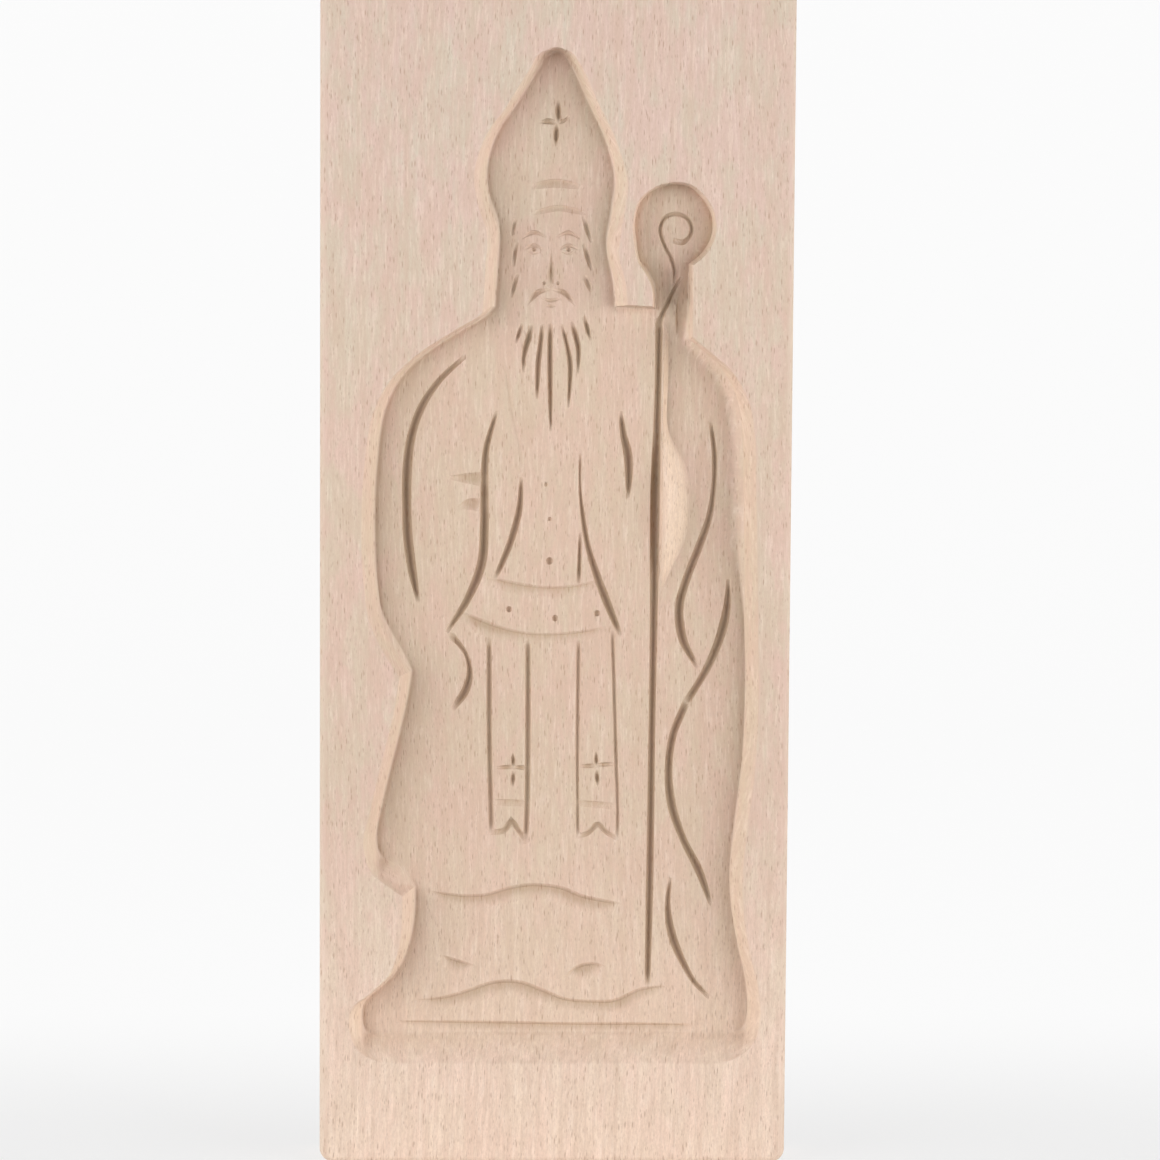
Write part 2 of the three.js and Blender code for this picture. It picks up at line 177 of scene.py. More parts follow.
# The carver's cuts: drawn points, and widths at equal steps along the cut
crozier_cuts = [
    ([(31.1, 198.9), (29, 195.3), (27.5, 192), (26.1, 188.6), (25.6, 185)], (0.7, 1, 1.3, 1.5, 1.6)),
    ([(25.7, 188), (25.4, 166.1), (25, 144.8), (24.9, 123.5), (24.8, 102.2), (24.6, 80.9), (24.5, 59.6),
      (24.3, 38.3), (24, 17)], (2, 1.9, 2.6, 2.4, 2, 1.9, 2, 2, 1.6)),
]
hook_cuts = [
    ([(29.5, 208.2), (31.5, 207.9), (33.3, 209.6), (33.7, 211.6), (32.5, 214), (29.8, 215.1),
      (26.9, 214.2), (25.6, 211.2), (26.7, 207.2), (28.5, 203.9), (29.4, 200.9), (29.4, 197.9)],
     (1.5, 1.2, 1.1, 1.1, 1.1, 1.1, 0.8)),
]
neck_scoops = [([(31.4, 194), (31.5, 190), (31.5, 185)], (2, 3.4, 3))]
cape_cuts = [
    ([(-24.2, 178.3), (-30.2, 172.6), (-34.8, 165.8), (-37.5, 157.9), (-38.5, 149.6), (-38.6, 141.1),
      (-38.3, 132.7), (-37.2, 124.3), (-35.6, 116.1)], (1.2, 1.6, 2.1, 2.3, 2.6, 2.5, 2.6, 2.4, 1.3)),
    ([(-15.8, 164.2), (-18.3, 154.9), (-18.7, 145), (-18.7, 135.4), (-19.4, 125.6), (-22.8, 116.7),
      (-28, 108.3)], (1.2, 1.8, 2.2, 2.4, 2.5, 2.1, 1.2)),
    ([(-26.9, 107), (-23.6, 102.9), (-22.3, 97.9), (-23.3, 93.1), (-26.3, 88.6)],
     (1.9, 1.2, 1.6, 2.3, 1.6)),
    ([(16, 164.4), (16.7, 159), (17.9, 153.8), (18.2, 148.4), (18, 143)], (1.2, 1.9, 2.4, 2.1, 1.1)),
    ([(39.2, 161.7), (40.2, 153.8), (40.1, 145.7), (39, 137.7), (36.4, 130.1), (33.5, 122.5),
      (31.4, 114.7), (32.3, 106.6), (36, 99.4)], (1.1, 1.5, 1.4, 1.8, 2.1, 2.2, 2.4, 2.4, 1.3)),
    ([(44, 121.4), (43.8, 115.8), (42.9, 110.3), (41.3, 105), (39.1, 99.8), (36.4, 94.9), (33.4, 90.1)],
     (1.1, 1.9, 2.5, 2.3, 2.1, 1.9, 2.1)),
    ([(33.4, 90.1), (30.1, 81.6), (29, 72.4), (29.9, 63.3), (32.9, 54.6), (37, 46.5), (40.2, 37.9)],
     (2.1, 2.1, 2.1, 2.4, 2, 2.2, 1.3)),
    ([(29.7, 44), (29.1, 38.5), (29.5, 32.8), (30.9, 27.5), (33.2, 22.3), (36, 17.4), (39.9, 13.3)],
     (1.1, 1.5, 2.1, 2.3, 1.9, 1.4, 1.2)),
]
fold_cuts = [
    ([(-9.3, 147.5), (-9.8, 139.6), (-12.1, 130.9), (-15.7, 122.2)], (1, 1.8, 1.9, 1.3)),
    ([(5.7, 153.5), (5.7, 145.7), (6.5, 137.8), (7.9, 130), (10.3, 122.4), (13.1, 115.1), (16.2, 107.8)],
     (0.9, 0.8, 1.4, 1.6, 2.1, 2.2, 1.4)),
    ([(5.8, 133.3), (5.7, 127.2), (5.5, 121)], (1, 1.2, 1.4)),
]
chest_cuts = [
    ([(-14.1, 177.7), (-12.8, 170.1), (-11.7, 163.7), (-10.5, 158.4), (-9.7, 154.3), (-9.4, 149)],
     (0.8, 2, 2.1, 2.1, 2, 1.4)),
]
hand_cuts = [
    ([(-27.4, 147.8), (-23.4, 147.9), (-19.4, 147.8)], (0.9, 2.5, 3.8)),
    ([(-25, 140.3), (-22.6, 141.3), (-19.9, 141.2)], (1.3, 2.9, 3.3)),
]
belt_cuts = [
    ([(-17.5, 121.8), (-10.6, 120.2), (-3.5, 119.3), (3.5, 119.5), (10.4, 121)], (2.2, 3.3, 2.8, 2.8, 2)),
    ([(-24.4, 112.8), (-18.7, 110.2), (-12.7, 108.3), (-6.6, 107.3), (-0.3, 107.2), (5.9, 107.8),
      (12.1, 109)], (2.7, 4.2, 3.3, 2.8, 2.8, 2.8, 2)),
]
stole_cuts = [
    ([(-17.4, 106), (-17.3, 97.5), (-17.2, 81.1), (-16.8, 64.6), (-16.6, 56.3)],
     (1.5, 1.6, 1.6, 1.5, 1.6)),
    ([(-7.4, 106), (-7.3, 88.7), (-7.3, 71.3), (-7.4, 62.7), (-7.7, 54)], (1.5, 1.6, 1.6, 1.6, 1.5)),
    ([(5.6, 105.8), (5.5, 88.7), (5.5, 72), (5.6, 63.6), (5.7, 55.2)], (1.3, 1.2, 1.2, 1.1, 1.2)),
    ([(14.2, 108.2), (14.6, 99.4), (14.9, 90.5), (15.2, 81.8), (15.5, 72.9), (15.9, 64.1), (15.9, 55.2)],
     (1.2, 1.2, 1.2, 1.2, 1.2, 1.1, 1.2)),
]
stole_end_cuts = [
    ([(-16.7, 56.2), (-13.3, 56.7), (-11.4, 58.9), (-9.4, 56.4), (-7.7, 53.8)],
     (1.4, 1.5, 1.8, 1.4, 1.4)),
    ([(5.6, 55.2), (8.6, 56.2), (10.8, 58.4), (12.9, 56.4), (15.7, 54.8)], (1.2, 1.3, 1.4, 1.3, 1.2)),
]
cross_cuts = [
    ([(-0.4, 243.3), (-0.4, 240.4), (-0.3, 238)], (0.7, 1.3, 1.6, 1.3, 0.8)),
    ([(-0.8, 237.7), (-0.9, 235.4), (-1, 232.2)], (0.8, 1.4, 1.6, 1.2, 0.7)),
    ([(-4.9, 238), (-3.2, 238.3), (-1.2, 238)], (0.7, 1.6, 1.2)),
    ([(0, 238.2), (1.2, 238.5), (2.2, 239.4)], (1.2, 1, 0.7)),
    ([(-11.1, 76.6), (-11, 73.2)], (0.6, 1.2, 0.8)),
    ([(-11, 71.8), (-11.1, 68.4)], (0.8, 1.3, 0.6)),
    ([(-15, 73), (-11.2, 73.2)], (0.7, 1.2, 0.9)),
    ([(-10.8, 73.1), (-7.7, 73)], (0.7, 1.2, 0.9)),
    ([(10.3, 77), (10.4, 73.4)], (0.6, 1.2, 0.8)),
    ([(10.5, 72.2), (10.7, 68.5)], (0.8, 1.3, 0.6)),
    ([(6.4, 73.4), (10.1, 73.6)], (0.7, 1.2, 0.9)),
    ([(10.6, 73.8), (14.5, 74)], (0.7, 1.2, 0.9)),
]
bar_cuts = [
    ([(-16, 64.3), (-11.8, 64.2), (-7.8, 64)], (1.6, 1.7, 1.6)),
    ([(5.9, 64.1), (10.1, 63.8), (14.4, 63.4)], (1.6, 1.7, 1.6)),
]
hem_cuts = [
    ([(-32.3, 40.5), (-27.4, 39.6), (-22.4, 39.1), (-17.4, 39.5), (-12.6, 40.9), (-7.7, 41.9),
      (-2.8, 41.9), (2, 41), (6.6, 39.1), (11.7, 38), (16.7, 37.5)],
     (1.8, 3.2, 3.7, 3.7, 4.2, 4, 4, 4.5, 4.5, 4.2, 1.8)),
    ([(-29.4, 23.9), (-25.4, 22.2), (-21.1, 21.2)], (1.8, 4, 2.1)),
    ([(3.4, 18.9), (5.5, 20.4), (7.8, 21.1), (10.3, 21.4), (12.8, 21.2)], (1.8, 3.7, 4.6, 3.5, 1.6)),
    ([(-35.2, 12.2), (-28.7, 12.6), (-22.3, 14.3), (-16, 16.4), (-9.7, 16.6), (-3.6, 14.6), (2.7, 12.2),
      (9.3, 11.6), (15.8, 11.8), (21.9, 14.6), (28.4, 15.9)],
     (1.6, 3.5, 4, 4.2, 4.5, 4.2, 3.5, 3.7, 4.2, 3.7, 2.2)),
    ([(-39.9, 6.5), (-25.1, 6.3), (-10, 6), (5, 5.8), (20.1, 5.8), (35.1, 5.7)],
     (2.2, 3, 3.7, 3.2, 3.2, 2.4)),
]
beard_cuts = [
    ([(-9.4, 186.7), (-10.1, 184.5), (-10.8, 182.4)], (0.9, 1.2, 0.9)),
    ([(-6.9, 186.3), (-7.6, 183.5), (-8.4, 180.7), (-8.9, 177.9), (-8.9, 175)],
     (1.3, 1.7, 1.6, 1.2, 0.9)),
    ([(-4.2, 186.4), (-4.6, 181.9), (-5.1, 177.4), (-5.3, 172.8), (-5.4, 168.3)],
     (1.3, 1.4, 1.6, 1.4, 0.9)),
    ([(-2.1, 186.6), (-2.2, 180), (-2.1, 173.3), (-2, 166.7), (-1.9, 160)], (1.4, 1.5, 1.5, 1.3, 0.7)),
    ([(0.8, 186.5), (2.2, 181.4), (3, 176.6), (2.9, 171.6), (2.6, 166)], (1, 1.3, 1.5, 1.2, 0.8)),
    ([(3.3, 187.1), (4.3, 184.1), (5, 181.1), (5.1, 178), (4.9, 174.8)], (1.3, 1.6, 1.5, 1.2, 0.9)),
    ([(6.5, 188.6), (7.3, 185.9), (8.1, 183.2)], (1, 1.4, 0.9)),
]
hair_cuts = [
    ([(-11.2, 213.3), (-11.6, 211.5), (-11.9, 209.8)], (1, 1.1, 1)),
    ([(-10.8, 207.2), (-11.3, 204.6), (-11.6, 201.9)], (1, 1.2, 1)),
    ([(-10.7, 199.2), (-11.4, 196.6), (-12.1, 194)], (1, 1.3, 1)),
    ([(6.2, 213.9), (7.1, 211), (8.1, 208.2)], (1, 1.4, 1)),
    ([(6.4, 207), (7.3, 204), (8.3, 201.1)], (1, 1.5, 1)),
    ([(6.7, 198.9), (7.4, 197.2), (8.2, 195.6)], (1, 1.4, 1)),
]
brim_cuts = [
    ([(-7.1, 222), (-0.5, 223), (5.5, 221.9)], (1.1, 2, 2.2, 2, 1.1)),
    ([(-6.5, 215.2), (-3.3, 216.1), (0, 216.6), (3.3, 216.1), (6.4, 215.3)], (1, 1.5, 1.6, 1.5, 1)),
]

# Cuts of half of the face, mirrored for the other half, and those on its middle. Their points are
# counted in eye widths out from the middle and in millimetres up from the line that is named.
half_face_cuts = [
    (eye_line, [(0.35, 3.1), (1, 4.2), (1.65, 2.7)], (0.5, 1.1, 0.4)),
    (eye_line, [(0.5, -0.1), (1, 1), (1.5, 0)], (0.4, 1, 0.4)),
    (eye_line, [(0.6, -0.7), (1, -1.2), (1.4, -0.6)], (0.3, 0.6, 0.3)),
    (nose_base, [(0.12, -1.3), (0.75, -2), (1.35, -5)], (0.6, 1.5, 0.5)),
]
mid_face_cuts = [
    (mouth_line, [(-0.5, -0.6), (0, -1.1), (0.5, -0.6)], (0.4, 1, 0.4)),
    (mouth_line, [(-0.25, -2.5), (0.25, -2.5)], (0.3, 0.9, 0.3)),
]
nose_widths = (0.6, 0.9, 1.3, 2, nose_width, 1.8)
pupil_place = (eye_line, (1, -0.1))
nostril_place = (nose_base, (0.4, 0.3))

# The facet beside the staff: its foot's line, the column of its ridge, how steeply it falls away left
# of that, and, at heights up the figure, how high the ridge is and how deep the hollow right of it
facet_foot = [(28.7, 189), (28.3, 183), (28.2, 172.8), (28.2, 160.5), (30.5, 155.4), (32.5, 152),
              (33.7, 146.9), (33.9, 142), (33.7, 137.4), (33, 132.6), (31.5, 128.7), (29.5, 124.6),
              (27.6, 120.5)]
facet_ridge_x = 26.8
facet_back_slope = 3
ridge_heights = ((120.5, 0), (127, 1.4), (136, 2.3), (147, 2.3), (154, 1.2), (160, 0))
hollow_depths = ((112, 0), (135, 2), (178, 2), (189, 0))

# How much painted light makes the facet paler at heights up the figure, as it faces the right lamp, and
# the shares of its width over which that fades in at its foot and out at its ridge
facet_light_shares = ((120.5, 0), (125, 0.75), (156, 0.75), (160, 0.45), (183, 0.45), (189, 0))
facet_light_foot = 0.15
facet_light_ridge = 0.08

# The beads of the belt, and the button and the studs above it
bead_places = [(-12.3, 113.9), (-0.5, 111.7), (10.3, 113)]
button_places = [(-2, 126.4)]
stud_places = [(-2, 137.2), (-3, 146)]

# Fineness of the mesh: steps along lines, parts of curves, and each grid's spacing with the share of
# it that the grid keeps away from other points
outline_step = 0.6
cut_step = 0.55
rim_spacing = 4
span_points = 24
corner_facets = 8
rounding_facets = 7
side_facets = 5
pit_rays = 16
floor_spacing, floor_gap = 1.3, 0.55
face_spacing, face_gap = 3.5, 0.5
back_spacing, back_gap = 12, 0.4

# How far the grids stay inside the front's edge and the back's, how far inside the front's edge a row
# of its own supports it, the side of a square that holds one point, and how near two are joined
front_margin = 1
back_margin = 2
edge_support = 0.6
closest = 0.04
weld_distance = 1e-5

# Rows of points: at shares of a wall's run and of its heel's reach, at distances before its foot, and
# at shares of the facet's width
wall_rows = (0.01, 0.09, 0.2, 0.35, 0.5, 0.65, 0.8, 0.9, 0.95, 0.99, 1.03, 1.1, 1.25)
heel_rows = (0.25, 0.5, 0.75, 1)
dip_rows = (0.06, 0.2, 0.45, 0.8, 1.2, 1.6)
facet_rows = (0, 0.03, 0.25, 0.5, 0.75, 0.97, 1.05, 1.3)

# How true a row's height or distance has to be for a point of it to stay, and a heel's least reach
height_match = 0.1
dip_match = 0.03
heel_match = 0.05
least_heel = 0.4

# Rows along cuts, round their ends and round pits, at shares of the half width or radius and then at
# distances beyond it, and the fan of rays at a cut's end, in radians from its heading
cut_rows = ((1, 0.6, 0.3, 0.8, 0.92), (0.07, 0.3))
end_rows = ((1, 0.5), (0.25,))
pit_rows = ((1, 0.4, 0.75, 0.93), (0.1, 0.3))
end_fan = np.linspace(-1.2, 1.2, 5)

# The sine of the least turn that makes a sharp corner of the outline, how many steps a wall runs on
# past one, and the angle between faces, in degrees, that makes a crease
sharp_corner = 0.3
wall_overrun = 8
crease_angle = 50

# How many points are set against a whole line at once
batch_size = 2000

# The beech's noises: how often each varies per millimetre along X, Y and Z, its detail, its roughness
drift_noise = ((0.012, 0.012, 0.004), 1.0, 0.5)
mottle_noise = ((0.16, 0.16, 0.06), 4.0, 0.65)
band_noise = ((0.45, 0.45, 0.05), 3.0, 0.6)
streak_noise = ((1.1, 1.1, 0.02), 3.0, 0.6)
fibre_noise = ((3.2, 0.5, 0.45), 3.0, 0.6)
pale_fibre_noise = ((1.7, 0.3, 0.16), 3.0, 0.6)
speckle_noise = ((2.6, 0.5, 1.3), 2.0, 0.6)

# How far the grain drifts, and how far off the pale fibres are read, to lie apart from the dark ones
drift_reach = (14, 14, 0)
pale_fibre_offset = (37, 11, 5)

# The two tints of the mottle at the foot, the middle and the top, as screen values from 0 to 255, and
# the values of its noise and the heights on the board between which tints pass over. The foot's tints
# are paler: painted light, for the board showing brighter towards its foot
foot_tints_painted_light = ((247, 221, 203), (244, 223, 203))
middle_tints = ((221, 191, 177), (214, 199, 177))
top_tints = ((218, 191, 181), (209, 199, 181))
mottle_span = (0.38, 0.62)
painted_foot_light_heights = (5, 110)
top_heights = (160, 280)

# Tints over those: the values between which one fades (of its noise, the place in Y, how far a face
# looks sideways or a cut's depth), its share of the tone at each, and its screen values
band_tint = ((0.3, 0.7), (0.4, 0.0), (205, 176, 154))
streak_tint = ((0.3, 0.7), (0.3, 0.0), (205, 174, 152))
# Painted shade: below the face, deeper into the pocket, the tone is painted darker and warmer
pocket_shade_tint = ((-9.5, -5), (0.0, 0.24), (212, 182, 150))
# Painted light: faces that look sideways, towards the lamps, are painted paler and creamier
side_light_tint = ((0.4, 0.9), (0.0, 0.3), (210, 192, 168))
fibre_tint = ((0.38, 0.68), (0.0, 0.36), (200, 172, 152))
pale_fibre_tint = ((0.48, 0.72), (0.0, 0.32), (244, 228, 214))
speckle_tint = ((0.4, 0.66), (0.0, 0.22), (196, 168, 150))
# Partly painted shade: cuts are painted darker and browner with depth, for cut wood that is darker and
# for shade in them
cut_wood_and_shade_tint = ((0.05, 0.9), (0.0, 0.38), (140, 108, 68))
# Painted light: the facet's paler tint, a painted highlight
facet_light_tint = (243, 219, 194)

# The ray flecks: how many there may be per millimetre along X, Y and Z, how far from its middle one
# fades, in those spacings, and the share that is kept; how softly the rest fade, and their strengths
long_flecks = ((1.25, 0.05, 0.26), (0.3, 0.1), 0.65)
short_flecks = ((1.9, 0.08, 0.45), (0.3, 0.1), 0.6)
kept_softness = 0.2
short_fleck_share = 0.8
fleck_share = 0.52
fleck_tint = (170, 132, 108)

# The wood's surface: the fibres' values between which its roughness changes, the roughness at each,
# how high fibres stand as a share of how deep flecks are, the strength of both, and that depth
roughness_span = (0.3, 0.7)
roughness_ends = (0.56, 0.7)
fibre_height = 0.5
bump_strength = 0.5
fleck_depth = 0.08

# The white card, and how much of its tone is plain white to the camera, and not lit by the lamps:
# beside the board and further back, and the places in metres between which the two pass over
card_white = (0.9, 0.9, 0.9, 1)
card_roughness = 0.7
white_beside = 0.72
white_behind = 0.94
white_span = (-0.05, 0.2)


def spaced(line, step):
    """The same line with its points an equal way apart, about a step."""
    lengths = np.linalg.norm(np.diff(line, axis=0), axis=1)
    passed = np.concatenate([[0], np.cumsum(lengths)])
    places = np.linspace(0, passed[-1], max(1, round(passed[-1] / step)) + 1)
    return np.column_stack([np.interp(places, passed, line[:, axis]) for axis in (0, 1)])


def curve_through(drawn, step):
    """A smooth curve through drawn points, as points about a step apart."""
    points = np.array(drawn, float)
    points = np.vstack([2 * points[0] - points[1], points, 2 * points[-1] - points[-2]])
    share = np.linspace(0, 1, span_points, endpoint=False)[:, None]
    spans = []
    for before, start, end, after in zip(points, points[1:], points[2:], points[3:]):
        arriving, passing, leaving = start - before, end - start, after - end
        first, middle, last = (np.linalg.norm(side) ** 0.5 for side in (arriving, passing, leaving))
        leave = arriving / first - (end - before) / (first + middle) + passing / middle
        arrive = passing / middle - (after - start) / (middle + last) + leaving / last
        leave, arrive = leave * middle, arrive * middle
        square = 3 * passing - 2 * leave - arrive
        cube = leave + arrive - 2 * passing
        spans.append(start + leave * share + square * share**2 + cube * share**3)
    return spaced(np.vstack([*spans, points[-2:-1]]), step)


def across(line):
    """Unit vectors square to an open line at its points, to the right of its heading."""
    heading = np.gradient(line, axis=0)
    heading /= np.linalg.norm(heading, axis=1)[:, None]
    return np.column_stack([heading[:, 1], -heading[:, 0]])


def reaches(half, rows):
    """Distances from a middle: shares of a half width, then gaps beyond it."""
    shares, gaps = rows
    return [half * share for share in shares] + [half + gap for gap in gaps]


def batches(points):
    """The points in parts small enough to work on."""
    return np.array_split(points, len(points) // batch_size + 1)


def nearest(points, starts, ends):
    """For each point: its distance to the nearest segment, that segment, and how far along it."""
    sides = ends - starts
    squares = (sides**2).sum(1)
    found = []
    for some in batches(points):
        gaps = some[:, None] - starts
        along = np.clip((gaps * sides).sum(2) / squares, 0, 1)
        distances = np.linalg.norm(gaps - along[:, :, None] * sides, axis=2)
        best = distances.argmin(1)
        rows = np.arange(len(some))
        found.append((distances[rows, best], best, along[rows, best]))
    return [np.concatenate(column) for column in zip(*found)]


def inside(points, ring):
    """Which points lie in a closed ring: those with an odd number of its sides to their right."""
    starts, ends = ring, np.roll(ring, -1, axis=0)
    found = []
    for some in batches(points):
        x, z = some[:, :1], some[:, 1:]
        spans = (starts[:, 1] > z) != (ends[:, 1] > z)
        rise = np.where(ends[:, 1] == starts[:, 1], 1, ends[:, 1] - starts[:, 1])
        crossing = starts[:, 0] + (z - starts[:, 1]) * (ends[:, 0] - starts[:, 0]) / rise
        found.append((spans & (x < crossing)).sum(1) % 2 == 1)
    return np.concatenate(found)


def at_heights(points, table):
    """What a table of heights and values gives at each point's height."""
    return np.interp(points[:, 1], *zip(*table))


def soft_min(a, b, blend):
    """The lower of two heights, eased where they are within a blend of each other."""
    return np.minimum(a, b) - np.maximum(blend - abs(a - b), 0) ** 2 / (4 * blend)


def soft_max(a, b, blend):
    return -soft_min(-a, -b, blend)


def in_face(side, line, drawn):
    """Points of the face, drawn out from its middle and up from a line."""
    return [(face_middle + side * eyes_out * eye_width, line + up) for eyes_out, up in drawn]


def all_cuts():
    """Every cut, as its drawn points, its widths and its section."""
    face = [(in_face(side, line, drawn), widths, middle_cut)
            for side in (-1, 1) for line, drawn, widths in half_face_cuts]
    face += [(in_face(1, line, drawn), widths, middle_cut) for line, drawn, widths in mid_face_cuts]
    nose = (in_face(1, nose_base, [(0, eye_line - nose_base), (0, 0)]), nose_widths, nose_cut)
    groups = (
        (deep_cut, crozier_cuts + cape_cuts + fold_cuts + cross_cuts + beard_cuts),
        (middle_cut, stole_cuts + stole_end_cuts + hair_cuts), (deep_cut, hook_cuts),
        (shallow_cut, chest_cuts), (stroke_cut, hand_cuts), (slanted_cut, belt_cuts),
        (stroke_cut, bar_cuts), (slanted_cut, hem_cuts), (stroke_cut, brim_cuts))
    drawn = [(points, widths, section) for section, cuts in groups for points, widths in cuts]
    return [*face, nose, *drawn]


def all_pits():
    """The round pits, as places and radii."""
    face = [(in_face(side, line, [place])[0], radius) for side in (-1, 1)
            for (line, place), radius in ((pupil_place, pupil_radius), (nostril_place, nostril_radius))]
    groups = ((bead_places, bead_radius), (button_places, button_radius), (stud_places, stud_radius))
    return face + [(place, radius) for places, radius in groups for place in places]


class Cut:
    """One cut: the line of its bottom, and its half width at each point of that line."""

    def __init__(self, drawn, widths, section):
        self.line = curve_through(drawn, cut_step)
        self.depth, self.power, self.lean = section
        along = np.linspace(0, 1, len(self.line))
        length = cut_step * len(self.line)
        entry = min(entry_length, entry_share * length)
        self.depth *= np.interp(np.minimum(along, 1 - along) * length, (0, entry), (entry_depth, 1))
        stations = np.linspace(0, 1, len(widths)) * length
        course = curve_through(list(zip(stations, widths)), cut_step / 2)
        self.half = np.interp(along * stations[-1], course[:, 0], course[:, 1]) / 2

    def depths(self, points):
        """How deep the cut goes below the surface at each point."""
        found = np.zeros(len(points))
        reach = self.half.max() * (1 + self.lean)
        near = ((points > self.line.min(0) - reach) & (points < self.line.max(0) + reach)).all(1)
        if near.any():
            distance, segment, along = nearest(points[near], self.line[:-1], self.line[1:])
            half = self.half[segment] * (1 - along) + self.half[segment + 1] * along
            heading = self.line[segment + 1] - self.line[segment]
            gap = points[near] - self.line[segment]
            right_of_it = heading[:, 0] * gap[:, 1] - heading[:, 1] * gap[:, 0] < 0
            share = np.clip(distance / half / np.where(right_of_it, 1 + self.lean, 1 - self.lean), 0, 1)
            deepest = half * (self.depth[segment] * (1 - along) + self.depth[segment + 1] * along)
            found[near] = deepest * (1 - share**self.power) ** (1 / self.power)
        return found

    def rows(self):
        """Points along the cut's edges and sides, and round its two ends."""
        sideways = across(self.line)
        for offset in reaches(self.half[:, None], cut_rows):
            yield self.line + sideways * offset * (1 + self.lean)
            yield self.line - sideways * offset * (1 - self.lean)
        for end, inner in ((0, 1), (-1, -2)):
            heading = self.line[end] - self.line[inner]
            heading = heading / np.linalg.norm(heading)
            aside = np.array([-heading[1], heading[0]])
            fan = np.outer(np.cos(end_fan), heading) + np.outer(np.sin(end_fan), aside)
            for reach in reaches(self.half[end], end_rows):
                yield self.line[end] + reach * fan


class Wall:
    """The wall along one stretch of the outline: its foot's line, and how far it runs to its lip."""

    def __init__(self, run, drawn):
        self.foot = curve_through(drawn, outline_step)
        self.outward = across(self.foot)
        facing_down = np.maximum(self.outward[:, 1], 0)
        self.run = np.maximum(steepest_wall, run - loss_facing_down * facing_down)
        self.heel = heel_reach * self.run * np.maximum(-self.outward[:, 1], 0) ** 2

    def run_on(self, at_start, at_end):
        """Lets the heel die out, and the wall run straight on, at the ends with a sharp corner."""
        stations = outline_step * np.arange(len(self.foot))
        self.longer_foot = self.foot
        if at_start:
            self.heel = self.heel * np.clip(stations / heel_ease, 0, 1)
            ahead = self.foot[:1] + (self.foot[:1] - self.foot[1:2]) * wall_overrun
            self.longer_foot = np.vstack([ahead, self.longer_foot])
        if at_end:
            self.heel = self.heel * np.clip(stations[::-1] / heel_ease, 0, 1)
            ahead = self.foot[-1:] + (self.foot[-1:] - self.foot[-2:-1]) * wall_overrun
            self.longer_foot = np.vstack([self.longer_foot, ahead])
        added = (int(at_start), int(at_end))
        self.longer_run = np.pad(self.run, added, "edge")
        self.longer_heel = np.pad(self.heel, added, "edge")

    def over(self, points, beyond):
        """The wall's height and its heel's over points beyond the foot or before it, and how far they
        are from it."""
        line, runs, heels = self.foot, self.run, self.heel
        if beyond:
            line, runs, heels = self.longer_foot, self.longer_run, self.longer_heel
        distance, segment, along = nearest(points, line[:-1], line[1:])
        run = runs[segment] * (1 - along) + runs[segment + 1] * along
        heel = heels[segment] * (1 - along) + heels[segment + 1] * along
        away = distance if beyond else -distance
        return away * pocket_depth / run, (heel + away) * heel_slope, distance


